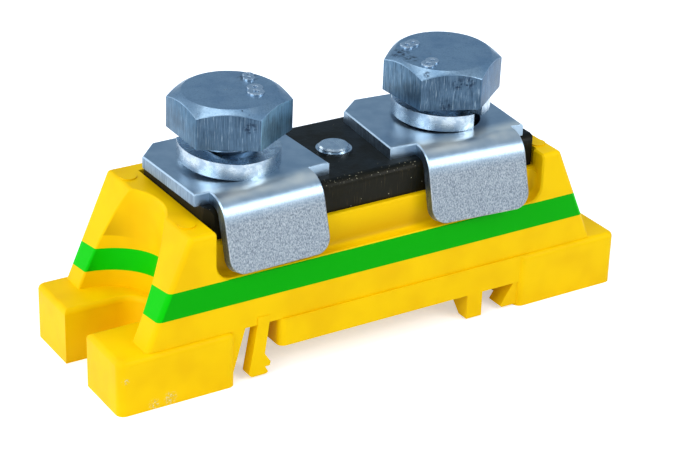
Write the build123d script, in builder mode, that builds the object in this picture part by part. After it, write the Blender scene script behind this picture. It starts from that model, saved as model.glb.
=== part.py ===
from build123d import *
from math import cos, radians, sin
import os

# All sizes are in millimetres. X runs along the terminal, Y across it with the
# side that shows the clamp tabs at minus Y, and Z up from the foot.

# Moulded housing: foot
base_length = 72.0
base_width = 23.0
base_height = 7.2
block_length = 15.4
block_corner_radius = 1.0
block_top_radius = 0.7
slot_width = 6.0
slot_centre_from_end = 6.95
deck_setback = 0.3
deck_corner_radius = 0.9
rail_seat_height = 3.5
latch_gap_length = 6.1
join_overlap = 1.0

# Moulded housing: upper body with the scooped ends
body_setback = 0.55
body_height = 13.4
body_foot_from_end = 3.8
body_ridge_from_end = 9.7
body_edge_radius = 0.6
scoop_radius = 7.3
scoop_centre_from_end = 3.9
scoop_rim_radius = 0.3
boss_diameter = 2.0
boss_height = 0.15
boss_from_ridge = 1.25
boss_from_side = 3.4

# Moulded housing: what grips the 35 mm rail
latch_thickness = 1.6
latch_setback = 0.45
latch_root_x = -15.9
latch_root_depth = 1.6
latch_foot_height = 0.3
latch_foot_back_x = -18.7
latch_foot_front_x = -16.3
barb_start = (-16.46, 3.07)
barb_tip = (-15.65, 1.83)
barb_heel = (-15.78, 1.3)
barb_notch = (-16.39, 1.29)
lead_in_tip = (-15.98, 0.5)
web_thickness = 2.0
web_setback = 0.7
web_reach = 1.6
web_height = 5.6
post_x = 14.05
post_length = 2.3
post_foot_height = 0.15
post_flat = 1.7
post_brace = 5.0
hook_setback = 0.5
hook_thickness = 2.45
hook_reach = 2.3
hook_root_reach = 0.4
hook_foot_height = 0.3
hook_lip = 0.25

# Earth bar and the seat it lies in, measured in from the housing's ridges and sides
bar_left_inset = 3.3
bar_right_inset = 2.6
bar_side_inset = 2.45
bar_thickness = 4.0
bar_edge_radius = 1.1
bar_left_chamfer = 1.0
bar_right_chamfer = 0.3
seat_depth = 2.2
seat_side_clearance = 0.3
seat_left_clearance = 0.1
seat_right_clearance = 0.3
seat_edge_chamfer = 0.2

# Recess in the near side that the clamp tabs hang in
recess_left_inset = 3.4
recess_right_inset = 2.75
recess_floor_step = 0.45
recess_depth = 6.3
recess_corner_radius = 2.0
recess_floor_radius = 0.9
recess_rim_chamfer = 0.2

# Clamp screws, M8 with a 13 mm hexagon, spaced by their share of the bar's length
bolt_spacing_share = 0.651
bolt_shift = -0.2
bolt_diameter = 8.0
bolt_length = 16.0
bolt_point_chamfer = 0.9
hex_across_flats = 13.0
head_chamfer_angle = 30.0
left_head_size = 5.2
left_head_drop = 1.3
left_head_gap = 1.1
left_head_turn = 30.4
right_head_size = 6.1
right_head_drop = 2.0
right_head_gap = 0.05
right_head_turn = -24.45
thread_clearance = 0.05
screw_well_clearance = 0.5
screw_well_depth = 9.0

# Clamp plates, measured from the bar's long edges, their ears as (left, right) widths
plate_thickness = 1.5
plate_back_overhang = 0.55
plate_front_inset = 2.05
plate_back_chamfer = 2.9
plate_hole_clearance = 1.2
plate_edge_break = 0.15
left_plate_ears = (2.0, 2.85)
right_plate_ears = (3.55, 1.65)
tab_width_share = 0.292
tab_foot_drop = 8.7
tab_flare_angle = 16.0
tab_corner_radius = 2.0
bend_inner_radius = 1.2
bend_outer_radius = 3.3
bend_inset = 1.5
left_plate_offset = (0.3, -0.2)
left_plate_turn = 1.5
right_plate_offset = (-0.6, -0.75)
right_plate_turn = -5.0

# Spring washers, left-hand coils as cut from square wire
washer_bore_clearance = 0.1
washer_wire_width = 2.2
washer_wire_height = 2.0
washer_gap_angle = 13.0
left_washer_rise = 1.0
left_washer_flat = 0.7
left_washer_start = 140.0
right_washer_rise = 1.45
right_washer_flat = 0.0
right_washer_start = -82.0

# Rivet that ties the bar to the housing
rivet_x = -1.0
rivet_y = -0.5
rivet_diameter = 3.2
rivet_clearance = 0.05
rivet_flange_diameter = 4.5
rivet_flange_height = 0.3
rivet_head_diameter = 3.9
rivet_head_height = 0.75
rivet_head_chamfer = 0.2
rivet_tail_diameter = 4.8
rivet_tail_height = 1.2
rivet_counterbore_diameter = 7.0
rivet_counterbore_depth = 2.2

# Heights and positions that follow from the sizes above
body_top = base_height + body_height
body_width = base_width - 2 * body_setback
deck_width = base_width - 2 * deck_setback
seat_height = body_top - seat_depth
bar_top = seat_height + bar_thickness
plate_top = bar_top + plate_thickness
end_x = base_length / 2
ridge_x = end_x - body_ridge_from_end
block_inner_x = end_x - block_length
latch_gap_right = -block_inner_x + latch_gap_length
bar_left = -ridge_x + bar_left_inset
bar_right = ridge_x - bar_right_inset
bar_length = bar_right - bar_left
bar_centre_x = (bar_left + bar_right) / 2
bar_width = body_width - 2 * bar_side_inset
seat_left = bar_left - seat_left_clearance
seat_right = bar_right + seat_right_clearance
seat_half_width = bar_width / 2 + seat_side_clearance
recess_left = -ridge_x + recess_left_inset
recess_right = ridge_x - recess_right_inset
recess_back = seat_half_width + recess_floor_step
recess_foot_height = body_top - recess_depth
bolt_spacing = bar_length * bolt_spacing_share
left_bolt_x = bolt_shift - bolt_spacing / 2
right_bolt_x = bolt_shift + bolt_spacing / 2
tab_width = bar_length * tab_width_share
plate_back = bar_width / 2 + plate_back_overhang
plate_front = bar_width / 2 - plate_front_inset
bend_start = bar_width / 2 - bend_inset
washer_bore = bolt_diameter + washer_bore_clearance
left_head_seat = plate_top + washer_wire_height + left_washer_rise + left_head_gap
right_head_seat = plate_top + washer_wire_height + right_washer_rise + right_head_gap


# One end block of the foot with its open fixing slot; the other is its mirror
with BuildPart() as end_block:
    with BuildSketch(Plane.XY):
        with Locations((end_x - block_length / 2, 0)):
            Rectangle(block_length, base_width)
    extrude(amount=base_height)
    fillet(end_block.edges().filter_by(Axis.Z), radius=block_corner_radius)
    with BuildSketch(Plane.XY):
        with Locations((end_x - slot_centre_from_end, 0)):
            Circle(slot_width / 2)
        with Locations((end_x - slot_centre_from_end / 2, 0)):
            Rectangle(slot_centre_from_end, slot_width)
    extrude(amount=base_height, mode=Mode.SUBTRACT)
    fillet(end_block.faces().sort_by(Axis.Z)[-1].edges(), radius=block_top_radius)

# What grips the rail on the near side: latch leg, web, post and fixed hook
with BuildPart() as rail_grip:
    latch_outer_y = base_width / 2 - latch_setback
    with BuildSketch(Plane.XZ.offset(latch_outer_y - latch_thickness)):
        with BuildLine():
            Polyline(
                (latch_root_x - latch_root_depth, base_height),
                (latch_root_x - latch_root_depth, base_height + join_overlap),
                (latch_root_x, base_height + join_overlap),
                (latch_root_x, base_height),
                barb_start,
                barb_tip,
                barb_heel,
                barb_notch,
                lead_in_tip,
                (latch_foot_front_x, latch_foot_height),
                (latch_foot_back_x, latch_foot_height),
                close=True,
            )
        make_face()
    extrude(amount=latch_thickness)
    latch_foot_edges = rail_grip.edges().filter_by(Axis.Y).sort_by(Axis.X)
    fillet(latch_foot_edges[0], radius=latch_thickness / 3)
    web_outer_y = base_width / 2 - web_setback
    with BuildSketch(Plane.XZ.offset(web_outer_y - web_thickness)):
        with BuildLine():
            Polyline(
                (-block_inner_x - join_overlap, base_height),
                (-block_inner_x + web_reach, base_height),
                (-block_inner_x, base_height - web_height),
                (-block_inner_x - join_overlap, base_height - web_height),
                close=True,
            )
        make_face()
    extrude(amount=web_thickness)
    with BuildSketch(Plane.YZ.offset(post_x - post_length / 2)):
        with BuildLine():
            Polyline(
                (-deck_width / 2, rail_seat_height + join_overlap),
                (-deck_width / 2, post_foot_height),
                (-deck_width / 2 + post_flat, post_foot_height),
                (-deck_width / 2 + post_brace, rail_seat_height),
                (-deck_width / 2 + post_brace, rail_seat_height + join_overlap),
                close=True,
            )
        make_face()
    extrude(amount=post_length)
    hook_outer_y = base_width / 2 - hook_setback
    with BuildSketch(Plane.XZ.offset(hook_outer_y - hook_thickness)):
        with BuildLine():
            Polyline(
                (block_inner_x + join_overlap, rail_seat_height + join_overlap),
                (block_inner_x - hook_root_reach, rail_seat_height + join_overlap),
                (block_inner_x - hook_root_reach, rail_seat_height),
                (block_inner_x - hook_reach, hook_foot_height + hook_lip),
                (block_inner_x - hook_reach + hook_lip, hook_foot_height),
                (block_inner_x + join_overlap, hook_foot_height),
                close=True,
            )
        make_face()
    extrude(amount=hook_thickness)

# Housing: one moulding
with BuildPart() as housing:
    with BuildSketch(Plane.XZ):
        with BuildLine():
            Polyline(
                (-end_x + body_foot_from_end, base_height),
                (-ridge_x, body_top),
                (ridge_x, body_top),
                (end_x - body_foot_from_end, base_height),
                close=True,
            )
        make_face()
    extrude(amount=body_width / 2, both=True)
    body_edges = housing.edges() - housing.faces().sort_by(Axis.Z)[0].edges()
    fillet(body_edges, radius=body_edge_radius)

    # scoops that leave room for a screwdriver over the fixing slots
    with BuildSketch(Plane.XY.offset(base_height)):
        with Locations((-end_x + scoop_centre_from_end, 0), (end_x - scoop_centre_from_end, 0)):
            Circle(scoop_radius)
    extrude(amount=body_height + join_overlap, mode=Mode.SUBTRACT)
    scoop_walls = housing.faces().filter_by(GeomType.CYLINDER).sort_by(SortBy.AREA)[-2:]
    scoop_rims = scoop_walls.edges().filter_by(
        lambda edge: edge.center().Z > base_height + body_edge_radius
    )
    fillet(scoop_rims, radius=scoop_rim_radius)

    # foot: two end blocks, the deck between them and the strip beside the latch gap
    add(end_block.part)
    mirror(end_block.part, about=Plane.YZ)
    with BuildSketch(Plane.XY.offset(rail_seat_height)):
        with Locations(((latch_gap_right + block_inner_x + 2 * join_overlap) / 2, 0)):
            RectangleRounded(
                block_inner_x + 2 * join_overlap - latch_gap_right, deck_width, deck_corner_radius
            )
    extrude(amount=base_height - rail_seat_height)
    with BuildSketch(Plane.XY.offset(base_height - 2 * join_overlap)):
        with Locations((-block_inner_x - join_overlap, 0)):
            Rectangle(2 * join_overlap, body_width - 2 * block_corner_radius)
    extrude(amount=2 * join_overlap)
    add(rail_grip.part)
    mirror(rail_grip.part, about=Plane.XZ)

    # seat for the bar, open to the near side through the recess
    with BuildSketch(Plane.XY.offset(seat_height)):
        with Locations(((seat_left + seat_right) / 2, 0)):
            Rectangle(seat_right - seat_left, 2 * seat_half_width)
    extrude(amount=seat_depth + join_overlap, mode=Mode.SUBTRACT)
    with BuildSketch(Plane.XZ.offset(seat_half_width)):
        with Locations(((recess_left + recess_right) / 2, (seat_height + body_top + join_overlap) / 2)):
            Rectangle(recess_right - recess_left, body_top + join_overlap - seat_height)
    extrude(amount=recess_floor_step, mode=Mode.SUBTRACT)
    with BuildSketch(Plane.XZ.offset(recess_back)):
        with BuildLine():
            recess_top = body_top + recess_corner_radius
            FilletPolyline(
                (recess_left, recess_top),
                (recess_left, recess_foot_height),
                (recess_right, recess_foot_height),
                (recess_right, recess_top),
                radius=recess_corner_radius,
            )
            Line((recess_right, recess_top), (recess_left, recess_top))
        make_face()
    extrude(amount=base_width / 2 - recess_back, mode=Mode.SUBTRACT)
    seat_lip = housing.edges().filter_by(Axis.X).filter_by(
        lambda edge: abs(edge.center().Z - seat_height) < 0.01
    )
    chamfer(seat_lip.sort_by(Axis.Y)[0], length=seat_edge_chamfer)
    recess_foot = housing.edges().filter_by(Axis.X).filter_by(
        lambda edge: abs(edge.center().Z - recess_foot_height) < 0.01
    )
    fillet(recess_foot.sort_by(Axis.Y)[-1], radius=recess_floor_radius)
    recess_foot = housing.edges().filter_by(Axis.X).filter_by(
        lambda edge: abs(edge.center().Z - recess_foot_height) < 0.01
    )
    chamfer(recess_foot.sort_by(Axis.Y)[0], length=recess_rim_chamfer)

    # wells under the bar for the screw ends, and the way through for the rivet
    with BuildSketch(Plane.XY.offset(seat_height - screw_well_depth)):
        with Locations((left_bolt_x, 0), (right_bolt_x, 0)):
            Circle(bolt_diameter / 2 + screw_well_clearance)
    extrude(amount=screw_well_depth, mode=Mode.SUBTRACT)
    with BuildSketch(Plane.XY.offset(rail_seat_height)):
        with Locations((rivet_x, rivet_y)):
            Circle(rivet_diameter / 2 + rivet_clearance)
    extrude(amount=seat_height - rail_seat_height, mode=Mode.SUBTRACT)
    with BuildSketch(Plane.XY.offset(rail_seat_height)):
        with Locations((rivet_x, rivet_y)):
            Circle(rivet_counterbore_diameter / 2)
    extrude(amount=rivet_counterbore_depth, mode=Mode.SUBTRACT)

    # raised marks of the ejector pins on the four ridge tops
    with BuildSketch(Plane.XY.offset(body_top)):
        with GridLocations(2 * (ridge_x - boss_from_ridge), body_width - 2 * boss_from_side, 2, 2):
            Circle(boss_diameter / 2)
    extrude(amount=boss_height)

# Flat bar of the earth conductor, tapped for both screws
with BuildPart() as earth_bar:
    with BuildSketch(Plane.XY.offset(seat_height)):
        with Locations((bar_centre_x, 0)):
            Rectangle(bar_length, bar_width)
    extrude(amount=bar_thickness)
    corner_edges = earth_bar.edges().filter_by(Axis.Z).sort_by(Axis.X)
    chamfer(corner_edges[:2], length=bar_left_chamfer)
    chamfer(corner_edges[2:], length=bar_right_chamfer)
    fillet(earth_bar.edges().filter_by(Axis.X).group_by(Axis.Z)[-1], radius=bar_edge_radius)
    with BuildSketch(Plane.XY.offset(seat_height)):
        with Locations((left_bolt_x, 0), (right_bolt_x, 0)):
            Circle(bolt_diameter / 2 + thread_clearance)
        with Locations((rivet_x, rivet_y)):
            Circle(rivet_diameter / 2 + rivet_clearance)
    extrude(amount=bar_thickness, mode=Mode.SUBTRACT)

# Rivet: stepped head on the bar, shank through the housing, tail in its counterbore
with BuildPart() as bar_rivet:
    tail_top = rail_seat_height + rivet_counterbore_depth
    with BuildSketch(Plane.XY.offset(bar_top)):
        with Locations((rivet_x, rivet_y)):
            Circle(rivet_flange_diameter / 2)
    extrude(amount=rivet_flange_height)
    with BuildSketch(Plane.XY.offset(bar_top)):
        with Locations((rivet_x, rivet_y)):
            Circle(rivet_head_diameter / 2)
    extrude(amount=rivet_head_height)
    chamfer(bar_rivet.edges().group_by(Axis.Z)[-1], length=rivet_head_chamfer)
    with BuildSketch(Plane.XY.offset(tail_top)):
        with Locations((rivet_x, rivet_y)):
            Circle(rivet_diameter / 2)
    extrude(amount=bar_top - tail_top)
    with BuildSketch(Plane.XY.offset(tail_top - rivet_tail_height)):
        with Locations((rivet_x, rivet_y)):
            Circle(rivet_tail_diameter / 2)
    extrude(amount=rivet_tail_height)


def clamp_plate(offset, turn, screw_x, ears):
    """Folded clamp plate: flat pad, bend over the bar edge and flared tab."""
    flare = radians(tab_flare_angle)
    lean = 90.0 - tab_flare_angle
    thinning = bend_outer_radius - bend_inner_radius - plate_thickness
    inner_start = bend_start + thinning * (1 - sin(flare)) / cos(flare)
    inner_centre = (-inner_start, bar_top - bend_inner_radius)
    outer_centre = (-bend_start, plate_top - bend_outer_radius)
    inner_end = (
        inner_centre[0] - bend_inner_radius * cos(flare),
        inner_centre[1] + bend_inner_radius * sin(flare),
    )
    outer_end = (
        outer_centre[0] - bend_outer_radius * cos(flare),
        outer_centre[1] + bend_outer_radius * sin(flare),
    )
    tab_length = (outer_end[1] - plate_top + tab_foot_drop) / cos(flare)
    outer_foot = (outer_end[0] - tab_length * sin(flare), outer_end[1] - tab_length * cos(flare))
    inner_foot = (
        outer_foot[0] + plate_thickness * cos(flare),
        outer_foot[1] - plate_thickness * sin(flare),
    )
    left_ear, right_ear = ears
    plate_left = -tab_width / 2 - left_ear
    plate_right = tab_width / 2 + right_ear
    notch_reach = tab_foot_drop
    with BuildPart() as plate:
        with BuildSketch(Plane.YZ.offset(plate_left)):
            with BuildLine():
                Line((plate_back, bar_top), (-inner_start, bar_top))
                CenterArc(inner_centre, bend_inner_radius, 90, lean)
                Line(inner_end, inner_foot)
                Line(inner_foot, outer_foot)
                Line(outer_foot, outer_end)
                CenterArc(outer_centre, bend_outer_radius, 90, lean)
                Line((-bend_start, plate_top), (plate_back, plate_top))
                Line((plate_back, plate_top), (plate_back, bar_top))
            make_face()
        extrude(amount=plate_right - plate_left)
        with BuildSketch(Plane.XY):
            with Locations((plate_left + left_ear / 2, -plate_front - notch_reach / 2)):
                Rectangle(left_ear, notch_reach)
            with Locations((plate_right - right_ear / 2, -plate_front - notch_reach / 2)):
                Rectangle(right_ear, notch_reach)
        extrude(amount=plate_top + join_overlap, mode=Mode.SUBTRACT)
        back_edges = plate.edges().filter_by(Axis.Z).group_by(Axis.Y)[-1]
        chamfer(back_edges, length=plate_back_chamfer)
        through = plate.edges().filter_by(lambda edge: abs(edge.length - plate_thickness) < 0.001)
        fillet(through.sort_by(Axis.Z)[:2], radius=tab_corner_radius)
        outer_faces = plate.faces().filter_by(
            lambda face: face.normal_at().Z - face.normal_at().Y > 0.5
        )
        rim = outer_faces.sort_by(SortBy.AREA)[-3:].edges().filter_by(
            lambda edge: abs(edge.length - tab_width) > 0.01
        )
        chamfer(rim, length=plate_edge_break)
        with BuildSketch(Plane.XY.offset(bar_top)):
            Circle(bolt_diameter / 2 + plate_hole_clearance)
        extrude(amount=plate_thickness, mode=Mode.SUBTRACT)
    return plate.part.moved(Location((screw_x + offset[0], offset[1], 0), (0, 0, turn)))


def spring_washer(start_angle, rise, flat_share, screw_x):
    """Square-wire coil, level over its flat share, then climbing clockwise seen from above."""
    sweep_angle = 360.0 - washer_gap_angle
    level_angle = sweep_angle * flat_share
    climb_angle = sweep_angle - level_angle
    mid_radius = (washer_bore + washer_wire_width) / 2
    mid_height = plate_top + washer_wire_height / 2
    with BuildPart() as washer:
        with BuildLine() as coil:
            Helix(
                pitch=rise * 360.0 / climb_angle,
                height=rise,
                radius=mid_radius,
                center=(0, 0, mid_height),
                lefthand=True,
            )
        with BuildSketch(Plane(origin=(mid_radius, 0, mid_height), x_dir=(1, 0, 0), z_dir=(0, -1, 0))):
            Rectangle(washer_wire_width, washer_wire_height)
        sweep(path=coil.line, is_frenet=True)
        if level_angle > 0:
            with BuildSketch(Plane.XZ):
                with Locations((mid_radius, mid_height)):
                    Rectangle(washer_wire_width, washer_wire_height)
            revolve(axis=Axis.Z, revolution_arc=level_angle)
    return washer.part.moved(Location((screw_x, 0, 0), (0, 0, start_angle - level_angle)))


def clamp_bolt(seat, head_size, head_drop, turn, screw_x):
    """Hexagon head screw; its plain shank stands for the thread's outside."""
    corner_radius = hex_across_flats / 2 / cos(radians(30))
    cap_run = head_drop / sin(radians(head_chamfer_angle)) * cos(radians(head_chamfer_angle))
    with BuildPart() as bolt:
        with BuildSketch(Plane.XY.offset(seat)):
            RegularPolygon(radius=corner_radius, side_count=6, rotation=turn)
        extrude(amount=head_size)
        with BuildSketch(Plane.XZ):
            with BuildLine():
                head_top = seat + head_size
                Polyline(
                    (0, seat),
                    (corner_radius + 0.01, seat),
                    (corner_radius + 0.01, head_top - head_drop),
                    (corner_radius - cap_run, head_top),
                    (0, head_top),
                    close=True,
                )
            make_face()
        revolve(axis=Axis.Z, mode=Mode.INTERSECT)
        with BuildSketch(Plane.XY.offset(seat - bolt_length)):
            Circle(bolt_diameter / 2)
        extrude(amount=bolt_length)
        chamfer(bolt.edges().group_by(Axis.Z)[0], length=bolt_point_chamfer)
    return bolt.part.moved(Location((screw_x, 0, 0)))


pieces = {
    "housing": housing.part,
    "earth_bar": earth_bar.part,
    "bar_rivet": bar_rivet.part,
    "left_clamp_plate": clamp_plate(
        left_plate_offset, left_plate_turn, left_bolt_x, left_plate_ears
    ),
    "right_clamp_plate": clamp_plate(
        right_plate_offset, right_plate_turn, right_bolt_x, right_plate_ears
    ),
    "left_spring_washer": spring_washer(
        left_washer_start, left_washer_rise, left_washer_flat, left_bolt_x
    ),
    "right_spring_washer": spring_washer(
        right_washer_start, right_washer_rise, right_washer_flat, right_bolt_x
    ),
    "left_clamp_bolt": clamp_bolt(
        left_head_seat, left_head_size, left_head_drop, left_head_turn, left_bolt_x
    ),
    "right_clamp_bolt": clamp_bolt(
        right_head_seat, right_head_size, right_head_drop, right_head_turn, right_bolt_x
    ),
}

os.makedirs("parts", exist_ok=True)
for name, shape in pieces.items():
    shape.label = name
    export_step(shape, f"parts/{name}.step")
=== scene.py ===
"""Looks of the earth connection terminal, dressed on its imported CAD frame.

The housing, bar, rivet, clamp plates and spring washers keep their CAD shapes and get
finishes. The two clamp bolts are modelled here with their rolled thread and head marks.
Sizes are in millimetres and angles in degrees, except where a docstring says otherwise.
"""

from __future__ import annotations

import logging
import math
from dataclasses import dataclass, field
from enum import Enum

import bmesh
import bpy
from mathutils import Matrix, Vector

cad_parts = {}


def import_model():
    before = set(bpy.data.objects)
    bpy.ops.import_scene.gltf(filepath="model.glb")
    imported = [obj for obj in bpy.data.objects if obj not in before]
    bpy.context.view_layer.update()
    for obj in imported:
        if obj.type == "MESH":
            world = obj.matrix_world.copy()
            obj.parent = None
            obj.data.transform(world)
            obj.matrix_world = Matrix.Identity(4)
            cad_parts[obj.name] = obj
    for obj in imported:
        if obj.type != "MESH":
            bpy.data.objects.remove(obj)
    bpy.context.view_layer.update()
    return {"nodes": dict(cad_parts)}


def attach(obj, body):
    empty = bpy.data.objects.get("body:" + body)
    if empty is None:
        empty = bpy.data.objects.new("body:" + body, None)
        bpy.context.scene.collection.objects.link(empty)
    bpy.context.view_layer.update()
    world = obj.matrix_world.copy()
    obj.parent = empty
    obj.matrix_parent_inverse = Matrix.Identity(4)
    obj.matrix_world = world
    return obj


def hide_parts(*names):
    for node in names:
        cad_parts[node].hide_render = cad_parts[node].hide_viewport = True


LOG = logging.getLogger("earth_terminal")
MM = 0.001
MERGE_GAP = 1e-6
FINE_MERGE_GAP = 1e-7
# Half the angle that one side of a hexagon spans.
HALF_SIDE = 30.0

Colour = tuple[float, float, float, float]
Point = tuple[float, float, float]
Span = tuple[float, float]
Plug = float | tuple[float, ...] | bpy.types.NodeSocket


def linear(hex_colour: str) -> Colour:
    """Turn an sRGB hex colour into linear RGBA.

    Args:
        hex_colour: Six hex digits.

    Returns:
        Linear red, green and blue with an alpha of 1.
    """
    channels = [int(hex_colour[i : i + 2], 16) / 255 for i in (0, 2, 4)]
    out = [c / 12.92 if c <= 0.04045 else ((c + 0.055) / 1.055) ** 2.4 for c in channels]
    return (out[0], out[1], out[2], 1.0)


def put(
    tree: bpy.types.NodeTree,
    kind: str,
    plugs: dict[str | int, Plug] | None = None,
    **settings: object,
) -> bpy.types.Node:
    """Add a node to a tree, set it up and plug in its inputs.

    Args:
        tree: The node tree.
        kind: Blender's name for the kind of node.
        plugs: Values or sockets for the node's inputs, by name or number.
        **settings: Attributes of the node.

    Returns:
        The new node.
    """
    node = tree.nodes.new(kind)
    for name, value in settings.items():
        setattr(node, name, value)
    for socket, value in (plugs or {}).items():
        if isinstance(value, bpy.types.NodeSocket):
            tree.links.new(value, node.inputs[socket])
        else:
            node.inputs[socket].default_value = value
    return node


@dataclass(frozen=True)
class Pattern:
    """Cloudy pattern of a real size.

    size is one spot in millimetres, detail how many finer layers lie over it, and stretch how
    many times longer the spots are along each axis. shift moves it by so many spots. Between
    the two noise values of span it rises from nothing to full. depth is its relief in
    millimetres, of which strength shows.
    """

    size: float
    detail: float = 2.0
    stretch: Point = (1.0, 1.0, 1.0)
    shift: Point = (0.0, 0.0, 0.0)
    span: Span = (0.0, 1.0)
    depth: float = 0.0
    strength: float = 1.0


class Surface:
    """A material in the making: its tree, its shader and its pattern places in millimetres.

    near_core is the share of a spot's radius within which its mask is full.
    """

    noise_roughness: float = 0.55
    near_core: float = 0.3

    def __init__(self, name: str) -> None:
        """Start a material.

        Args:
            name: The finish's name.
        """
        self.material = bpy.data.materials.new(name)
        self.material.use_nodes = True
        self.tree = self.material.node_tree
        self.shader = self.tree.nodes["Principled BSDF"]
        place = put(self.tree, "ShaderNodeTexCoord")
        plugs = {0: place.outputs["Object"], "Scale": 1 / MM}
        self.place = put(self.tree, "ShaderNodeVectorMath", plugs, operation="SCALE").outputs[0]
        axes = put(self.tree, "ShaderNodeSeparateXYZ", {0: self.place})
        _, self.y, self.z = axes.outputs
        facing = put(self.tree, "ShaderNodeNewGeometry")
        normal = put(self.tree, "ShaderNodeSeparateXYZ", {0: facing.outputs["Normal"]})
        self.facing_x, self.facing_y, self.facing_z = normal.outputs

    def math(self, operation: str, *values: Plug) -> bpy.types.NodeSocket:
        """Work out a value from others.

        Args:
            operation: Blender's name for the operation.
            *values: Numbers or sockets.

        Returns:
            The result's socket.
        """
        plugs = dict(enumerate(values))
        return put(self.tree, "ShaderNodeMath", plugs, operation=operation).outputs[0]

    def both(self, *masks: Plug) -> bpy.types.NodeSocket:
        """Mask that shows only where all the given masks do.

        Args:
            *masks: Two masks or more.

        Returns:
            Their product's socket.
        """
        product = masks[0]
        for mask in masks[1:]:
            product = self.math("MULTIPLY", product, mask)
        return product

    def ramp(self, value: Plug, span: Span) -> bpy.types.NodeSocket:
        """Rise smoothly from 0 to 1 between two values.

        Args:
            value: What is looked at.
            span: Where the result is 0 and where it is 1. The first may be the higher one.

        Returns:
            The result's socket.
        """
        start, end = span
        falls = start > end
        plugs = {
            "Value": value,
            "From Min": min(span),
            "From Max": max(span),
            "To Min": 1.0 if falls else 0.0,
            "To Max": 0.0 if falls else 1.0,
        }
        node = put(self.tree, "ShaderNodeMapRange", plugs, interpolation_type="SMOOTHSTEP")
        return node.outputs[0]

    def noise(self, pattern: Pattern) -> bpy.types.NodeSocket:
        """Lay a pattern over the piece.

        Args:
            pattern: The pattern.

        Returns:
            Its noise from 0 to 1, about 0.5 in the middle.
        """
        plugs = {
            "Vector": self.place,
            "Location": pattern.shift,
            "Scale": tuple(1 / (pattern.size * s) for s in pattern.stretch),
        }
        mapped = put(self.tree, "ShaderNodeMapping", plugs, vector_type="POINT")
        plugs = {
            "Vector": mapped.outputs[0],
            "Scale": 1.0,
            "Detail": pattern.detail,
            "Roughness": self.noise_roughness,
        }
        return put(self.tree, "ShaderNodeTexNoise", plugs).outputs["Fac"]

    def spots(self, pattern: Pattern) -> bpy.types.NodeSocket:
        """Mask of a pattern's spots, by its span.

        Args:
            pattern: The pattern.

        Returns:
            The mask's socket.
        """
        return self.ramp(self.noise(pattern), pattern.span)

    def near(self, centre: Point, radius: float) -> bpy.types.NodeSocket:
        """Mask that is 1 at a point and fades to 0 at a distance from it.

        Args:
            centre: The point.
            radius: The distance.

        Returns:
            The mask's socket.
        """
        plugs = {0: self.place, 1: centre}
        gap = put(self.tree, "ShaderNodeVectorMath", plugs, operation="DISTANCE")
        return self.ramp(gap.outputs["Value"], (radius, radius * self.near_core))

    def mix(self, share: Plug, low: Plug, high: Plug) -> bpy.types.NodeSocket:
        """Mix two colours.

        Args:
            share: Share of the second colour.
            low: First colour.
            high: Second colour.

        Returns:
            The mixed colour's socket.
        """
        plugs = {"Factor": share, 6: low, 7: high}
        return put(self.tree, "ShaderNodeMix", plugs, data_type="RGBA").outputs[2]

    def tint(self, colour: Plug, over: str, mask: Plug, share: float = 1.0) -> bpy.types.NodeSocket:
        """Lay a second colour over a first one where a mask shows.

        Args:
            colour: The first colour.
            over: The second colour, as hex digits.
            mask: Where it lies.
            share: How much of it shows at most.

        Returns:
            The new colour's socket.
        """
        return self.mix(self.math("MULTIPLY", mask, share), colour, linear(over))

    def bump(self, height: bpy.types.NodeSocket, depth: float, strength: float = 1.0) -> None:
        """Raise the surface by a pattern, on top of earlier bumps.

        Args:
            height: Pattern from 0 to 1.
            depth: Height of the pattern.
            strength: How much of it shows.
        """
        plugs: dict[str | int, Plug] = {
            "Height": height,
            "Distance": depth * MM,
            "Strength": strength,
        }
        links = self.shader.inputs["Normal"].links
        if links:
            plugs["Normal"] = links[0].from_socket
        node = put(self.tree, "ShaderNodeBump", plugs)
        self.tree.links.new(node.outputs[0], self.shader.inputs["Normal"])

    def emboss(self, pattern: Pattern) -> None:
        """Raise the surface by a pattern's own depth and strength.

        Args:
            pattern: The pattern.
        """
        self.bump(self.noise(pattern), pattern.depth, pattern.strength)

    def finish(self, **plugs: Plug) -> bpy.types.Material:
        """Plug colours and values into the shader.

        Args:
            **plugs: Inputs of the shader, with underscores for spaces.

        Returns:
            The finished material.
        """
        for name, value in plugs.items():
            title = name.replace("_", " ").title().replace("Ior", "IOR")
            socket = self.shader.inputs[title]
            if isinstance(value, bpy.types.NodeSocket):
                self.tree.links.new(value, socket)
            else:
                socket.default_value = value
        return self.material


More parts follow.
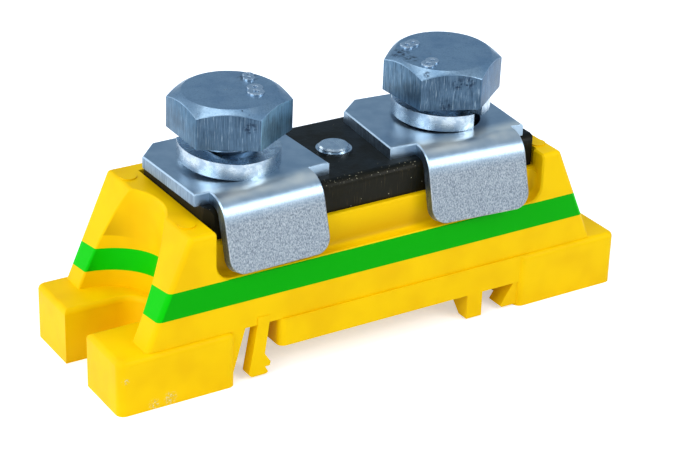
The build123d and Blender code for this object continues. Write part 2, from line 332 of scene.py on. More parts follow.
@dataclass(frozen=True)
class StripedPolyamide:
    """Yellow polyamide, injection moulded, with the green band of an earth terminal.

    Moulded satin gives soft broad lights, a fine grain and a little flash at the parting line.
    The band drops a little from the near side to the far one. It is painted brighter at the ends,
    as painted light, and the recess for the tabs is darkened towards its foot as painted shade.
    """

    yellow: str = "FBC900"
    yellow_deep: str = "F3BD00"
    # Darker yellow painted as shade in the recess under the bar.
    yellow_painted_shade: str = "DBA800"
    green: str = "00A800"
    # The second green is the band painted brighter on the end faces, as painted light.
    green_painted_light: str = "04C602"
    flash: str = "FFEFA8"
    stripe_foot: float = 9.92
    foot_slope: float = 0.08
    stripe_top: float = 13.05
    top_slope: float = 0.105
    stripe_blur: float = 0.02
    recess_inset: Span = (-10.65, -9.35)
    recess_fade: Span = (18.6, 14.6)
    recess_foot: Span = (14.0, 14.2)
    facing_near: Span = (-0.5, -0.9)
    facing_ends: Span = (0.1, 0.4)
    tone: Pattern = Pattern(6.0, span=(0.35, 0.75))
    crumbs: Pattern = Pattern(0.25, detail=3.0, span=(0.5, 0.6), depth=0.06)
    # The moulded grain is too fine to show, so it is drawn as coarse as it needs to.
    grain: Pattern = Pattern(0.22, detail=3.0, depth=0.012)
    wear: Pattern = Pattern(2.5, detail=4.0)
    flash_share: float = 0.8
    flash_places: tuple[tuple[Point, float], ...] = (
        ((-31.5, -11.5, 0.72), 0.9),
        ((-29.4, -11.5, 0.95), 1.1),
        ((-35.1, -11.4, 4.7), 0.6),
    )
    roughness: float = 0.34
    wear_roughness: float = 0.16
    specular: float = 0.06

    def build(self) -> bpy.types.Material:
        """Make the material.

        Returns:
            The material.
        """
        look = Surface("striped_polyamide")
        yellow = self._yellow(look)
        # Painted light: the band is painted a brighter green on faces that turn towards the ends.
        painted_light_at_ends = look.ramp(look.math("ABSOLUTE", look.facing_x), self.facing_ends)
        green = look.mix(painted_light_at_ends, linear(self.green), linear(self.green_painted_light))
        colour = look.mix(self._band(look), yellow, green)
        crumbs = look.spots(self.crumbs)
        for place, size in self.flash_places:
            mark = look.both(look.near(place, size), crumbs)
            colour = look.tint(colour, self.flash, mark, self.flash_share)
            look.bump(mark, self.crumbs.depth)
        look.emboss(self.grain)
        wear = look.noise(self.wear)
        rough = look.math("MULTIPLY_ADD", wear, self.wear_roughness, self.roughness)
        return look.finish(
            base_color=colour,
            roughness=rough,
            metallic=0.0,
            specular_ior_level=self.specular,
        )

    def _band(self, look: Surface) -> bpy.types.NodeSocket:
        """Mask of the green band, between its two slightly sloping edges.

        Args:
            look: The material in the making.

        Returns:
            The mask's socket.
        """
        blur = self.stripe_blur
        foot = look.math("MULTIPLY_ADD", look.y, self.foot_slope, look.z)
        top = look.math("MULTIPLY_ADD", look.y, self.top_slope, look.z)
        above = look.ramp(foot, (self.stripe_foot - blur, self.stripe_foot + blur))
        below = look.ramp(top, (self.stripe_top + blur, self.stripe_top - blur))
        return look.both(above, below)

    def _yellow(self, look: Surface) -> bpy.types.NodeSocket:
        """Yellow with its soft clouds, with painted shade at the back of the recess.

        Args:
            look: The material in the making.

        Returns:
            The colour's socket.
        """
        yellow = look.mix(look.spots(self.tone), linear(self.yellow), linear(self.yellow_deep))
        # Painted shade: the recess under the bar is darkened towards its back and its foot.
        recess_painted_shade = look.both(
            look.ramp(look.y, self.recess_inset),
            look.ramp(look.z, self.recess_fade),
            look.ramp(look.facing_y, self.facing_near),
            look.ramp(look.z, self.recess_foot),
        )
        return look.tint(yellow, self.yellow_painted_shade, recess_painted_shade)


@dataclass(frozen=True)
class BlackenedSteel:
    """Cold-drawn steel bar, blackened.

    The thin black layer is worn brown on the sawn side and to bare specks along the edge.
    """

    black: str = "0D100F"
    brown: str = "1C190C"
    scratch: str = "3E3420"
    bare: str = "A9A288"
    facing_near: Span = (-0.35, -0.8)
    edge_rise: Span = (21.6, 22.1)
    edge_side: Span = (-7.3, -7.6)
    side_share: float = 0.75
    patch_share: float = 0.35
    scratch_share: float = 0.5
    speck_share: float = 0.75
    patches: Pattern = Pattern(4.0, detail=3.0, span=(0.42, 0.68))
    # The saw lines are too fine to show, so they are drawn as coarse as they need to.
    streaks: Pattern = Pattern(0.16, 3.0, (1.0, 1.0, 14.0), span=(0.56, 0.72), depth=0.01, strength=0.6)
    specks: Pattern = Pattern(0.3, detail=4.0, span=(0.64, 0.7))
    loose_specks: Pattern = Pattern(0.35, detail=1.0, shift=(3.0, 7.0, 1.0), span=(0.77, 0.8))
    scale: Pattern = Pattern(0.5, detail=4.0, depth=0.02)
    roughness: float = 0.34
    patch_roughness: float = 0.2
    specular: float = 0.1

    def build(self) -> bpy.types.Material:
        """Make the material.

        Returns:
            The material.
        """
        look = Surface("blackened_steel")
        side = look.ramp(look.facing_y, self.facing_near)
        patches = look.spots(self.patches)
        streaks = look.noise(self.streaks)
        colour = look.tint(linear(self.black), self.brown, side, self.side_share)
        colour = look.tint(colour, self.brown, patches, self.patch_share)
        lines = look.both(look.ramp(streaks, self.streaks.span), side)
        colour = look.tint(colour, self.scratch, lines, self.scratch_share)
        along_edge = look.both(look.ramp(look.z, self.edge_rise), look.ramp(look.y, self.edge_side))
        specks = look.both(look.spots(self.specks), along_edge, self.speck_share)
        bare = look.math("MAXIMUM", specks, look.spots(self.loose_specks))
        colour = look.tint(colour, self.bare, bare)
        look.bump(streaks, self.streaks.depth, self.streaks.strength)
        look.emboss(self.scale)
        rough = look.math("MULTIPLY_ADD", patches, self.patch_roughness, self.roughness)
        return look.finish(
            base_color=colour,
            roughness=rough,
            metallic=0.0,
            specular_ior_level=self.specular,
        )


@dataclass(frozen=True)
class ZincPlatedSheet:
    """Stamped and folded steel sheet, zinc plated with a blue passivation.

    The pad stays smooth from rolling, with a pale glare painted towards the fold as a painted
    highlight. The tab is dulled to a fine grain, and the stamped edges show upright shear lines
    over a dark blue that is partly painted shade.
    """

    pad: str = "98AEC0"
    pad_light: str = "AABDCC"
    tab: str = "9EA6AC"
    tab_dark: str = "68727E"
    tab_light: str = "C6CACE"
    # Pale colour of a glare painted on the pad towards the fold, a painted highlight.
    painted_glare: str = "E4E6E0"
    # Dark blue of the stamped edges: partly the shear, partly painted shade on the faces along the
    # terminal.
    sheared_and_shaded: str = "3F5A78"
    sheared_light: str = "8CA6BC"
    tab_fall: Span = (23.0, 20.6)
    glare_reach: Span = (-5.4, -8.0)
    facing_up: Span = (0.72, 0.95)
    facing_side: Span = (0.8, 0.95)
    # The dulled grain is too fine to show, so it is drawn as coarse as it needs to.
    grain: Pattern = Pattern(0.15, 3.0, (1.0, 1.0, 1.6), depth=0.02, strength=0.5)
    grain_dark: Span = (0.52, 0.36)
    grain_light: Span = (0.52, 0.68)
    dark_share: float = 0.75
    light_share: float = 0.7
    blotches: Pattern = Pattern(2.2, detail=3.0, span=(0.3, 0.7))
    glare_patches: Pattern = Pattern(5.0, stretch=(1.0, 0.8, 1.0), span=(0.15, 0.6))
    glare_dullness: float = 0.26
    shear_lines: Pattern = Pattern(0.2, stretch=(1.0, 1.0, 12.0), span=(0.4, 0.75))
    shear_share: float = 0.6
    rolling: Pattern = Pattern(0.5, 3.0, (5.0, 1.0, 1.0), depth=0.006, strength=0.6)
    roughness: float = 0.3
    tab_roughness: float = 0.16
    blotch_roughness: float = 0.06

    def build(self) -> bpy.types.Material:
        """Make the material.

        Returns:
            The material.
        """
        look = Surface("zinc_plated_sheet")
        on_tab = look.ramp(look.z, self.tab_fall)
        grain = look.noise(self.grain)
        blotches = look.spots(self.blotches)
        # Painted highlight: a pale glare on the upward faces of the pad towards the fold, made less
        # metallic.
        painted_glare = look.both(
            look.ramp(look.y, self.glare_reach),
            look.spots(self.glare_patches),
            look.ramp(look.facing_z, self.facing_up),
        )
        pad = look.mix(blotches, linear(self.pad), linear(self.pad_light))
        pad = look.tint(pad, self.painted_glare, painted_glare)
        colour = look.mix(on_tab, pad, self._tab(look, grain))
        colour = look.mix(self._on_edge(look), colour, self._edge(look))
        look.bump(grain, self.grain.depth, self.grain.strength)
        look.emboss(self.rolling)
        rough = look.math("MULTIPLY_ADD", on_tab, self.tab_roughness, self.roughness)
        rough = look.math("MULTIPLY_ADD", blotches, self.blotch_roughness, rough)
        metal = look.math("SUBTRACT", 1.0, look.math("MULTIPLY", painted_glare, self.glare_dullness))
        return look.finish(base_color=colour, roughness=rough, metallic=metal)

    def _tab(self, look: Surface, grain: bpy.types.NodeSocket) -> bpy.types.NodeSocket:
        """Colour of the dulled tab, with its dark and light grains.

        Args:
            look: The material in the making.
            grain: The grain's noise.

        Returns:
            The colour's socket.
        """
        dark = look.ramp(grain, self.grain_dark)
        light = look.ramp(grain, self.grain_light)
        colour = look.tint(linear(self.tab), self.tab_dark, dark, self.dark_share)
        return look.tint(colour, self.tab_light, light, self.light_share)

    def _on_edge(self, look: Surface) -> bpy.types.NodeSocket:
        """Mask of the stamped edges that face along the terminal.

        Args:
            look: The material in the making.

        Returns:
            The mask's socket.
        """
        sideways = look.math("ABSOLUTE", look.facing_x)
        return look.both(look.ramp(sideways, self.facing_side), self.shear_share)

    def _edge(self, look: Surface) -> bpy.types.NodeSocket:
        """Colour of a stamped edge: a dark blue that is partly painted shade, with its light shear
        lines.

        Args:
            look: The material in the making.

        Returns:
            The colour's socket.
        """
        lines = look.spots(self.shear_lines)
        return look.mix(lines, linear(self.sheared_and_shaded), linear(self.sheared_light))


@dataclass(frozen=True)
class BrightZinc:
    """Spring steel and rivet wire, bright zinc plated.

    Thin bright plating over drawn wire: clean highlights with small pits and dull spots.
    """

    bright: str = "C6D2DA"
    dull: str = "A6B8C8"
    pit: str = "33465A"
    spots: Pattern = Pattern(0.9, detail=4.0, span=(0.38, 0.66))
    pits: Pattern = Pattern(0.28, span=(0.72, 0.78))
    pit_share: float = 0.8
    drawing: Pattern = Pattern(0.4, 3.0, (1.0, 1.0, 0.5), depth=0.006)
    roughness: float = 0.24
    spot_roughness: float = 0.1

    def build(self) -> bpy.types.Material:
        """Make the material.

        Returns:
            The material.
        """
        look = Surface("bright_zinc")
        spots = look.spots(self.spots)
        colour = look.mix(spots, linear(self.bright), linear(self.dull))
        colour = look.tint(colour, self.pit, look.spots(self.pits), self.pit_share)
        look.emboss(self.drawing)
        rough = look.math("MULTIPLY_ADD", spots, self.spot_roughness, self.roughness)
        return look.finish(base_color=colour, roughness=rough, metallic=1.0)


class BoltSide(Enum):
    """Surfaces of a clamp bolt that were made in different ways."""

    CROWN = "bolt_crown"
    FLATS = "bolt_flats"
    THREAD = "bolt_thread"
    MARKS = "bolt_marks"


@dataclass(frozen=True)
class BoltZinc:
    """Cold-headed steel bolt, zinc plated with a blue passivation.

    The crown is smooth with a few pits from the die. The trimmed flats have upright drag lines and
    are painted darker, lighter or darker again by the way each faces, as painted light and shade.
    The rolled thread is bright, and the raised marks are painted lighter, as a painted highlight.
    stains holds the place and size of each oily smudge.
    """

    # Colours of the flats facing left and right, painted lighter or darker as painted light and shade.
    left_flat_painted_light: str
    right_flat_painted_light: str
    stains: tuple[tuple[Point, float], ...]
    crown: str = "9AB4C8"
    crown_dull: str = "7E9CB6"
    crown_dark: str = "5A7690"
    # Colour of the front flats, painted darker as painted shade.
    front_flat_painted_light: str = "50677C"
    flats_light: str = "A3B7C4"
    flats_dark: str = "263646"
    thread: str = "A9B9C6"
    # The raised marks are painted lighter than the crown, a painted highlight on their tops.
    marks: str = "DCE6EE"
    stain: str = "1A2436"
    stain_share: float = 0.85
    stain_crumbs: Pattern = Pattern(0.5, detail=3.0, span=(0.4, 0.62))
    crown_clouds: Pattern = Pattern(3.0, detail=4.0, span=(0.35, 0.7))
    # The plating's grain is too fine to show, so it is drawn as coarse as it needs to.
    crown_grain: Pattern = Pattern(0.2, detail=3.0, span=(0.42, 0.7))
    grain_share: float = 0.35
    pits: Pattern = Pattern(0.45, span=(0.71, 0.77), depth=-0.05)
    pit_share: float = 0.7
    dimples: Pattern = Pattern(0.8, detail=4.0, depth=0.02)
    crown_roughness: float = 0.32
    cloud_roughness: float = 0.12
    drag_lines: Pattern = Pattern(0.11, 3.0, (1.0, 1.0, 26.0), depth=0.02, strength=0.6)
    line_dark: Span = (0.5, 0.36)
    line_light: Span = (0.58, 0.68)
    line_share: float = 0.55
    flats_clouds: Pattern = Pattern(2.4, detail=4.0, span=(0.4, 0.68))
    cloud_share: float = 0.4
    facing_left: Span = (-0.7, -0.9)
    facing_right: Span = (0.0, 0.3)
    flats_roughness: float = 0.36
    rolled: Pattern = Pattern(0.3, detail=3.0, depth=0.01)
    rolled_roughness: float = 0.28

    def build(self, side: BoltSide, hand: str) -> bpy.types.Material:
        """Make the material of one kind of surface.

        Args:
            side: Which surface.
            hand: Side of the terminal that the bolt stands on.

        Returns:
            The material.
        """
        look = Surface(f"{hand}_{side.value}")
        if side is BoltSide.CROWN:
            return self._crown(look)
        if side is BoltSide.FLATS:
            return self._flats(look)
        rolled = look.noise(self.rolled)
        # The marks' lighter colour is a painted highlight.
        base = self.thread if side is BoltSide.THREAD else self.marks
        colour = look.mix(rolled, linear(base), linear(self.crown_dull))
        look.bump(rolled, self.rolled.depth)
        return look.finish(base_color=colour, roughness=self.rolled_roughness, metallic=1.0)

    def _smudge(self, look: Surface, colour: bpy.types.NodeSocket) -> bpy.types.NodeSocket:
        """Lay the oily smudges over a colour.

        Args:
            look: The material in the making.
            colour: The colour under them.

        Returns:
            The colour with its smudges.
        """
        crumbs = look.spots(self.stain_crumbs)
        for place, size in self.stains:
            spot = look.both(look.near(place, size), crumbs)
            colour = look.tint(colour, self.stain, spot, self.stain_share)
        return colour

    def _crown(self, look: Surface) -> bpy.types.Material:
        """Finish the top of the head.

        Args:
            look: The material in the making.

        Returns:
            The material.
        """
        clouds = look.spots(self.crown_clouds)
        pits = look.spots(self.pits)
        colour = look.mix(clouds, linear(self.crown), linear(self.crown_dull))
        colour = look.tint(colour, self.crown_dark, look.spots(self.crown_grain), self.grain_share)
        colour = look.tint(colour, self.stain, pits, self.pit_share)
        colour = self._smudge(look, colour)
        look.bump(pits, self.pits.depth)
        look.emboss(self.dimples)
        rough = look.math("MULTIPLY_ADD", clouds, self.cloud_roughness, self.crown_roughness)
        return look.finish(base_color=colour, roughness=rough, metallic=1.0)

    def _flats(self, look: Surface) -> bpy.types.Material:
        """Finish the six trimmed sides of the head.

        Args:
            look: The material in the making.

        Returns:
            The material.
        """
        lines = look.noise(self.drag_lines)
        # Painted light and shade: each flat is lighter or darker by the way it faces.
        colour = look.tint(
            linear(self.front_flat_painted_light), self.left_flat_painted_light, look.ramp(look.facing_x, self.facing_left)
        )
        colour = look.tint(colour, self.right_flat_painted_light, look.ramp(look.facing_x, self.facing_right))
        dark = look.ramp(lines, self.line_dark)
        light = look.ramp(lines, self.line_light)
        colour = look.tint(colour, self.flats_dark, dark, self.line_share)
        colour = look.tint(colour, self.flats_light, light, self.line_share)
        colour = look.tint(colour, self.flats_dark, look.spots(self.flats_clouds), self.cloud_share)
        colour = self._smudge(look, colour)
        look.bump(lines, self.drag_lines.depth, self.drag_lines.strength)
        return look.finish(base_color=colour, roughness=self.flats_roughness, metallic=1.0)


def deselect() -> None:
    """Leave object mode clean, with nothing selected."""
    if bpy.context.mode != "OBJECT":
        bpy.ops.object.mode_set(mode="OBJECT")
    bpy.ops.object.select_all(action="DESELECT")


def set_in_place() -> bpy.types.Object:
    """Bake the active object's place into its mesh.

    Returns:
        The object, now at the origin.
    """
    piece = bpy.context.active_object
    bpy.ops.object.transform_apply(location=True, rotation=True, scale=True)
    return piece


def turn_outwards(merge_gap: float | None = None) -> None:
    """Turn the active piece's faces outwards, after merging its doubles where asked.

    Args:
        merge_gap: How close two corners are that become one, in metres, or None to leave them.
    """
    bpy.ops.object.mode_set(mode="EDIT")
    bpy.ops.mesh.select_all(action="SELECT")
    if merge_gap is not None:
        bpy.ops.mesh.remove_doubles(threshold=merge_gap)
    bpy.ops.mesh.normals_make_consistent(inside=False)
    bpy.ops.object.mode_set(mode="OBJECT")


def apply_modifier(piece: bpy.types.Object, kind: str, **settings: object) -> None:
    """Add a modifier to a piece, set it and apply it.

    Args:
        piece: The mesh object.
        kind: Blender's name for the modifier.
        **settings: Attributes of the modifier.
    """
    deselect()
    piece.select_set(True)
    bpy.context.view_layer.objects.active = piece
    modifier = piece.modifiers.new(kind.lower(), kind)
    for name, value in settings.items():
        setattr(modifier, name, value)
    bpy.ops.object.modifier_apply(modifier=modifier.name)


def join(first: bpy.types.Object, *others: bpy.types.Object) -> bpy.types.Object:
    """Join pieces into the first one.

    Args:
        first: The piece that stays.
        *others: The pieces that go into it.

    Returns:
        The joined piece, active and the only one selected.
    """
    deselect()
    for piece in (first, *others):
        piece.select_set(True)
    bpy.context.view_layer.objects.active = first
    bpy.ops.object.join()
    return first


def dress(piece: bpy.types.Object, *finishes: bpy.types.Material) -> None:
    """Give a piece its materials.

    Args:
        piece: The object.
        *finishes: The materials, in the order of its slots.
    """
    piece.data.materials.clear()
    for finish in finishes:
        piece.data.materials.append(finish)


@dataclass(frozen=True)
class HeadMark:
    """Raised plain number on a bolt head: text, place from the axis, turn and height."""

    text: str
    place: tuple[float, float]
    turn: float
    size: float


@dataclass
class ClampBolt:
    """M8 hexagon bolt with a chamfered head, rolled thread and raised head marks.

    seat is the height of the head's underside above the foot. corner_height and crown_height
    are measured from it, to the hexagon's corners and to the flat crown. Faces whose normals
    rise less than upright are the flats, and those below downward are the point's end.
    """

    name: str
    stands_for: str
    body: str
    hand: str
    screw_x: float
    seat: float
    corner_height: float
    crown_height: float
    crown_radius: float
    turn: float
    lean: tuple[float, float]
    marks: tuple[HeadMark, ...]
    across_flats: float = 13.0
    length: float = 16.0
    thread_radius: float = 3.95
    core_radius: float = 3.3
    core_steps: int = 48
    pitch: float = 1.25
    crest: float = 0.16
    root_gap: float = 0.08
    root_depth: float = 0.15
    runout: float = 1.0
    point_chamfer: float = 0.7
    overlap: float = 0.2
    mark_height: float = 0.24
    mark_bevel_share: float = 0.55
    mark_curve_steps: int = 6
    mark_bevel_steps: int = 2
    rim_round: float = 0.75
    edge_round: float = 0.1
    round_steps: int = 4
    sharp_radians: float = 0.6
    smooth_angle: float = 28.0
    cone_spare: float = 0.5
    cone_steps: int = 96
    thread_steps: int = 40
    hole_sides: int = 8
    upright: float = 0.3
    downward: float = -0.9

    def head(self) -> bpy.types.Object:
        """Model the hexagon head on the origin and round its edges.

        Returns:
            The head, its seat at height 0.
        """
        corner = self.across_flats / 2 / math.cos(math.radians(HALF_SIDE))
        slope = (self.crown_height - self.corner_height) / (corner - self.crown_radius)
        deselect()
        bpy.ops.mesh.primitive_cylinder_add(
            vertices=6,
            radius=corner * MM,
            depth=self.crown_height * MM,
            location=(0, 0, self.crown_height / 2 * MM),
            rotation=(0, 0, math.radians(self.turn - HALF_SIDE)),
        )
        head = set_in_place()
        head.name = self.name
        cone_depth = self.crown_height + self.cone_spare
        deselect()
        bpy.ops.mesh.primitive_cone_add(
            vertices=self.cone_steps,
            radius1=(self.crown_radius + cone_depth / slope) * MM,
            radius2=self.crown_radius * MM,
            depth=cone_depth * MM,
            location=(0, 0, (self.crown_height - cone_depth / 2) * MM),
        )
        cutter = set_in_place()
        apply_modifier(head, "BOOLEAN", operation="INTERSECT", object=cutter, solver="EXACT")
        bpy.data.objects.remove(cutter)
        self._round_edges(head)
        return head

    def _round_edges(self, head: bpy.types.Object) -> None:
        """Bevel the crown's rim widely and the other edges finely.

        Args:
            head: The head, which is the active object.
        """
        top = self.crown_height * MM
        least = self.sharp_radians
        for width, on_rim in ((self.rim_round, True), (self.edge_round, False)):
            bpy.ops.object.mode_set(mode="EDIT")
            mesh = bmesh.from_edit_mesh(head.data)
            for edge in mesh.edges:
                flat_top = all(abs(v.co.z - top) < MERGE_GAP for v in edge.verts)
                sharp = len(edge.link_faces) == 2 and edge.calc_face_angle(0.0) > least
                edge.select = flat_top if on_rim else sharp
            bmesh.update_edit_mesh(head.data)
            bpy.ops.mesh.bevel(
                offset=width * MM, segments=self.round_steps, affect="EDGES", clamp_overlap=True
            )
            bpy.ops.object.mode_set(mode="OBJECT")
        turn_outwards(MERGE_GAP)

    def mark(self, sign: HeadMark) -> bpy.types.Object:
        """Model one raised number on the crown.

        Args:
            sign: The number and its place.

        Returns:
            The number as a mesh.
        """
        deselect()
        bpy.ops.object.text_add(
            location=(sign.place[0] * MM, sign.place[1] * MM, self.crown_height * MM),
            rotation=(0, 0, math.radians(sign.turn)),
        )
        text = bpy.context.active_object.data
        text.body = sign.text
        text.size = sign.size * MM
        text.align_x = "CENTER"
        text.align_y = "CENTER"
        text.resolution_u = self.mark_curve_steps
        text.extrude = self.mark_height * (1 - self.mark_bevel_share) * MM
        text.bevel_depth = self.mark_height * self.mark_bevel_share * MM
        text.bevel_resolution = self.mark_bevel_steps
        bpy.ops.object.convert(target="MESH")
        number = set_in_place()
        turn_outwards(FINE_MERGE_GAP)
        return number

    def shank(self) -> bpy.types.Object:
        """Model the core with its chamfered point and wind the thread's ridge round it.

        Returns:
            The shank, its top inside the head.
        """
        deselect()
        bpy.ops.mesh.primitive_cylinder_add(
            vertices=self.core_steps,
            radius=self.core_radius * MM,
            depth=(self.length + self.overlap) * MM,
            location=(0, 0, (self.overlap - self.length) / 2 * MM),
        )
        core = set_in_place()
        bpy.ops.object.mode_set(mode="EDIT")
        mesh = bmesh.from_edit_mesh(core.data)
        for face in mesh.faces:
            face.select = face.normal.z < self.downward
        bmesh.update_edit_mesh(core.data)
        bpy.ops.mesh.bevel(offset=self.point_chamfer * MM, segments=1, affect="EDGES")
        bpy.ops.object.mode_set(mode="OBJECT")
        return join(core, self._ridge())

    def _ridge(self) -> bpy.types.Object:
        """Wind the thread's ridge from its cross-section.

        Returns:
            The ridge, closed at both ends.
        """
        ridge = self._ridge_section()
        apply_modifier(
            ridge,
            "SCREW",
            axis="Z",
            angle=math.tau,
            screw_offset=self.pitch * MM,
            iterations=int((self.length - self.runout - self.point_chamfer) / self.pitch),
            steps=self.thread_steps,
            render_steps=self.thread_steps,
            use_merge_vertices=True,
            merge_threshold=FINE_MERGE_GAP,
        )
        bpy.ops.object.mode_set(mode="EDIT")
        bpy.ops.mesh.select_all(action="SELECT")
        bpy.ops.mesh.fill_holes(sides=self.hole_sides)
        turn_outwards()
        return ridge

    def _ridge_section(self) -> bpy.types.Object:
        """Model the thread's cross-section at its start: a plane narrowed to the crest.

        Returns:
            The outline of the section, without its face.
        """
        depth = self.thread_radius - self.core_radius + self.root_depth
        middle = (self.core_radius - self.root_depth + depth / 2) * MM
        start = (self.point_chamfer - self.length + self.pitch / 2) * MM
        width = self.pitch - self.root_gap
        deselect()
        bpy.ops.mesh.primitive_plane_add(size=1, rotation=(math.radians(90), 0, 0))
        section = set_in_place()
        section.scale = (depth * MM, 1.0, width * MM)
        section.location = (middle, 0, start)
        set_in_place()
        bpy.ops.object.mode_set(mode="EDIT")
        mesh = bmesh.from_edit_mesh(section.data)
        for vert in mesh.verts:
            vert.select = vert.co.x > middle
        mesh.select_flush(True)
        bmesh.update_edit_mesh(section.data)
        narrow = (1.0, 1.0, self.crest / width)
        bpy.ops.transform.resize(value=narrow, center_override=(middle, 0, start))
        bpy.ops.mesh.select_all(action="SELECT")
        bpy.ops.mesh.delete(type="ONLY_FACE")
        bpy.ops.object.mode_set(mode="OBJECT")
        return section

    def build(self, finish: BoltZinc) -> None:
        """Model the bolt, dress it and hang it on its body.

        Args:
            finish: The bolt's finish.
        """
        crown, flats, thread, raised = (finish.build(side, self.hand) for side in BoltSide)
        head = self.head()
        dress(head, crown, flats, thread, raised)
        for face in head.data.polygons:
            face.material_index = 1 if abs(face.normal.z) < self.upright else 0
        marks = [self.mark(sign) for sign in self.marks]
        for number in marks:
            dress(number, raised)
        head = join(head, *marks)
        head.rotation_euler = (math.radians(self.lean[0]), math.radians(self.lean[1]), 0)
        set_in_place()
        shank = self.shank()
        dress(shank, thread)
        bolt = join(head, shank)
        bolt.location = (self.screw_x * MM, 0, self.seat * MM)
        set_in_place()
        bpy.ops.object.shade_smooth_by_angle(angle=math.radians(self.smooth_angle))
        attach(bolt, self.body)
        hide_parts(self.stands_for)
        LOG.info("%s: %d faces", self.name, len(bolt.data.polygons))


@dataclass
class Moulding:
    """Housing of one polyamide moulding."""

    node: str = "housing"
    finish: StripedPolyamide = field(default_factory=StripedPolyamide)

    def build(self, nodes: dict[str, bpy.types.Object]) -> None:
        """Dress the housing.

        Args:
            nodes: The frame's nodes by name.
        """
        dress(nodes[self.node], self.finish.build())
        LOG.info("%s dressed", self.node)


@dataclass
class BarSet:
    """Earth bar and the rivet that holds it."""

    bar: str = "earth_bar"
    rivet: str = "bar_rivet"
    bar_finish: BlackenedSteel = field(default_factory=BlackenedSteel)
    rivet_finish: BrightZinc = field(default_factory=BrightZinc)

    def build(self, nodes: dict[str, bpy.types.Object]) -> None:
        """Dress the bar and its rivet.

        Args:
            nodes: The frame's nodes by name.
        """
        dress(nodes[self.bar], self.bar_finish.build())
        dress(nodes[self.rivet], self.rivet_finish.build())
        LOG.info("%s and %s dressed", self.bar, self.rivet)


@dataclass
class ClampSet:
    """One clamp: its plate, its spring washer and its bolt."""

    bolt: ClampBolt
    bolt_finish: BoltZinc
    plate_finish: ZincPlatedSheet = field(default_factory=ZincPlatedSheet)
    washer_finish: BrightZinc = field(default_factory=BrightZinc)

    def build(self, nodes: dict[str, bpy.types.Object]) -> None:
        """Dress the plate and washer and model the bolt.

        Args:
            nodes: The frame's nodes by name.
        """
        hand = self.bolt.hand
        dress(nodes[f"{hand}_clamp_plate"], self.plate_finish.build())
        dress(nodes[f"{hand}_spring_washer"], self.washer_finish.build())
        self.bolt.build(self.bolt_finish)
        LOG.info("%s clamp dressed", hand)


def left_clamp() -> ClampSet:
    """Describe the left clamp, with its bolt turned and stained as in the photograph.

    Returns:
        The clamp, not built yet.
    """
    bolt = ClampBolt(
        name="left_bolt",
        stands_for="left_clamp_bolt",
        body="left_screw",
        hand="left",
        screw_x=-15.4,
        seat=28.0,
        corner_height=3.9,
        crown_height=4.92,
        crown_radius=5.75,
        turn=30.4,
        lean=(1.2, 0.1),
        marks=(
            HeadMark("8", (2.5, -1.7), -24.0, 4.2),
            HeadMark("8", (3.75, 2.2), -24.0, 2.8),
        ),
    )
    finish = BoltZinc(
        # The flats' colours by facing are painted light and shade.
        left_flat_painted_light="4F728C",
        right_flat_painted_light="80A9C1",
        stains=(
            ((-11.7, 2.2, 32.9), 1.7),
            ((-16.4, -6.9, 30.8), 1.1),
        ),
    )
    return ClampSet(bolt, finish)


def right_clamp() -> ClampSet:
    """Describe the right clamp, with its bolt turned and stained as in the photograph.

    Returns:
        The clamp, not built yet.
    """
    bolt = ClampBolt(
        name="right_bolt",
        stands_for="right_clamp_bolt",
        body="right_screw",
        hand="right",
        screw_x=15.0,
        seat=27.3,
        corner_height=4.1,
        crown_height=5.15,
        crown_radius=6.0,
        turn=-24.45,
        lean=(2.6, -1.2),
        marks=(
            HeadMark("8", (-2.9, 3.4), -75.0, 3.6),
            HeadMark("8", (-3.7, -2.4), -60.0, 3.6),
        ),
    )
    finish = BoltZinc(
        # The flats' colours by facing are painted light and shade.
        left_flat_painted_light="5D7C95",
        right_flat_painted_light="305D7F",
        stains=(
            ((9.7, 1.7, 32.4), 1.6),
            ((9.9, -0.4, 32.4), 1.3),
            ((9.6, -4.4, 31.8), 0.7),
            ((13.1, -6.3, 30.5), 1.1),
            ((14.2, -6.8, 30.7), 1.2),
            ((11.8, -5.7, 27.7), 1.0),
        ),
    )
    return ClampSet(bolt, finish)


@dataclass(frozen=True)
class Camera:
    """The photograph's camera.

    The focal length and the frame's width are in the photograph's pixels, and the clipping
    distances in metres.
    """

    azimuth: float = -32.494
    elevation: float = 26.26
    roll: float = 1.862
    distance: float = 264.22
    target: Point = (4.493, 5.612, 7.2)
    focal_px: float = 2035.883
    frame_px: float = 684.0
    sensor: float = 36.0
    clip: Span = (0.01, 5.0)

    def build(self) -> None:
        """Create the camera and make it the scene's camera."""
        data = bpy.data.cameras.new("photo_camera")
        data.sensor_width = self.sensor
        data.lens = self.focal_px * self.sensor / self.frame_px
        data.clip_start, data.clip_end = self.clip
        camera = bpy.data.objects.new("photo_camera", data)
        bpy.context.scene.collection.objects.link(camera)
        a, e, r = (math.radians(v) for v in (self.azimuth, self.elevation, self.roll))
        back = Vector((math.sin(a) * math.cos(e), -math.cos(a) * math.cos(e), math.sin(e)))
        right = Vector((math.cos(a), math.sin(a), 0.0))
        up = back.cross(right)
        rolled_right = right * math.cos(r) + up * math.sin(r)
        rolled_up = up * math.cos(r) - right * math.sin(r)
        turn = Matrix((rolled_right, rolled_up, back)).transposed()
        place = Vector(self.target) * MM + back * self.distance * MM
        camera.matrix_world = Matrix.Translation(place) @ turn.to_4x4()
        bpy.context.scene.camera = camera


@dataclass(frozen=True)
class Lamp:
    """Square soft lamp that looks at the object, in metres and watts."""

    name: str
    place: Point
    size: float
    power: float

    def build(self) -> None:
        """Create the lamp."""
        data = bpy.data.lights.new(self.name, "AREA")
        data.size = self.size
        data.energy = self.power
        lamp = bpy.data.objects.new(self.name, data)
        lamp.location = self.place
        lamp.rotation_euler = (-Vector(self.place)).to_track_quat("-Z", "Y").to_euler()
        bpy.context.scene.collection.objects.link(lamp)


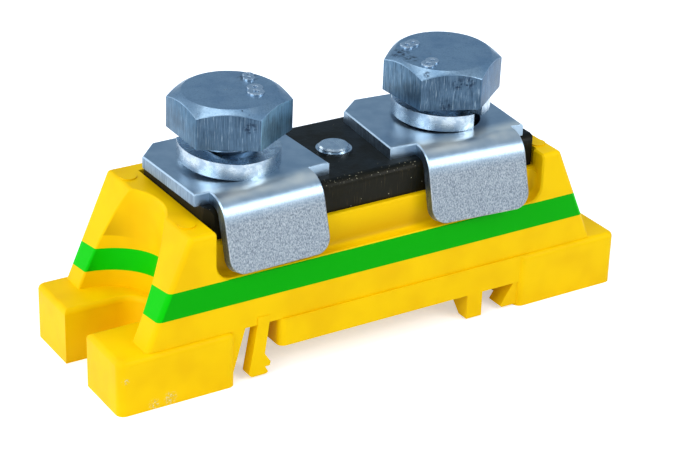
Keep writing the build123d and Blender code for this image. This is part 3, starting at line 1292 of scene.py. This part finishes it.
@dataclass(frozen=True)
class Studio:
    """Pale floor, shaded surroundings and soft lamps.

    floor_size is in metres. The heights of the surroundings' stops run from 0 at the horizon
    to 1 overhead.
    """

    floor_size: float = 3.0
    floor_hex: str = "F6F7F9"
    fibre_hex: str = "E8E8E8"
    fibres: Pattern = Pattern(1.5)
    fibre_share: float = 0.02
    floor_roughness: float = 0.95
    floor_lift: float = 0.45
    horizon: tuple[float, str] = (0.02, "C4D0DA")
    middle: tuple[float, str] = (0.35, "8AA5BE")
    zenith: tuple[float, str] = (1.0, "A8B6C4")
    lamps: tuple[Lamp, ...] = (
        Lamp("front_lamp", (0.35, -0.5, 0.42), 0.35, 2.1),
        Lamp("left_lamp", (-0.6, -0.15, 0.35), 0.5, 2.7),
        Lamp("top_lamp", (-0.1, 0.1, 0.8), 0.5, 1.5),
        Lamp("back_lamp", (-0.45, 0.6, 0.3), 0.5, 1.2),
    )

    def build(self) -> None:
        """Create the floor, the world and the lamps."""
        self._floor()
        self._world()
        for lamp in self.lamps:
            lamp.build()
        bpy.context.scene.view_settings.view_transform = "Standard"

    def _floor(self) -> None:
        """Lay the pale floor, which reads white to the camera and to metal."""
        deselect()
        bpy.ops.mesh.primitive_plane_add(size=self.floor_size, location=(0, 0, 0))
        floor = bpy.context.active_object
        floor.name = "studio_floor"
        look = Surface("floor_paper")
        rays = put(look.tree, "ShaderNodeLightPath")
        seen = look.math("MAXIMUM", rays.outputs["Is Camera Ray"], rays.outputs["Is Glossy Ray"])
        seen = look.math("MAXIMUM", seen, rays.outputs["Is Transmission Ray"])
        fibres = look.noise(self.fibres)
        paper = look.finish(
            base_color=look.tint(linear(self.floor_hex), self.fibre_hex, fibres, self.fibre_share),
            roughness=self.floor_roughness,
            emission_color=linear("FFFFFF"),
            emission_strength=look.math("MULTIPLY", seen, self.floor_lift),
        )
        dress(floor, paper)

    def _world(self) -> None:
        """Shade the surroundings from the horizon up."""
        world = bpy.data.worlds.new("studio_world")
        world.use_nodes = True
        tree = world.node_tree
        place = put(tree, "ShaderNodeTexCoord")
        axes = put(tree, "ShaderNodeSeparateXYZ", {0: place.outputs["Generated"]})
        ramp = put(tree, "ShaderNodeValToRGB", {0: axes.outputs[2]})
        stops = ramp.color_ramp.elements
        for stop, (height, shade) in zip(stops, (self.horizon, self.zenith)):
            stop.position = height
            stop.color = linear(shade)
        height, shade = self.middle
        stops.new(height).color = linear(shade)
        tree.links.new(ramp.outputs[0], tree.nodes["Background"].inputs["Color"])
        bpy.context.scene.world = world


def main() -> None:
    """Dress the frame, model the bolts and set up the studio."""
    logging.basicConfig(level=logging.INFO)
    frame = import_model()
    nodes = frame["nodes"]
    Moulding().build(nodes)
    BarSet().build(nodes)
    left_clamp().build(nodes)
    right_clamp().build(nodes)
    Camera().build()
    Studio().build()


if __name__ == "__main__":
    main()
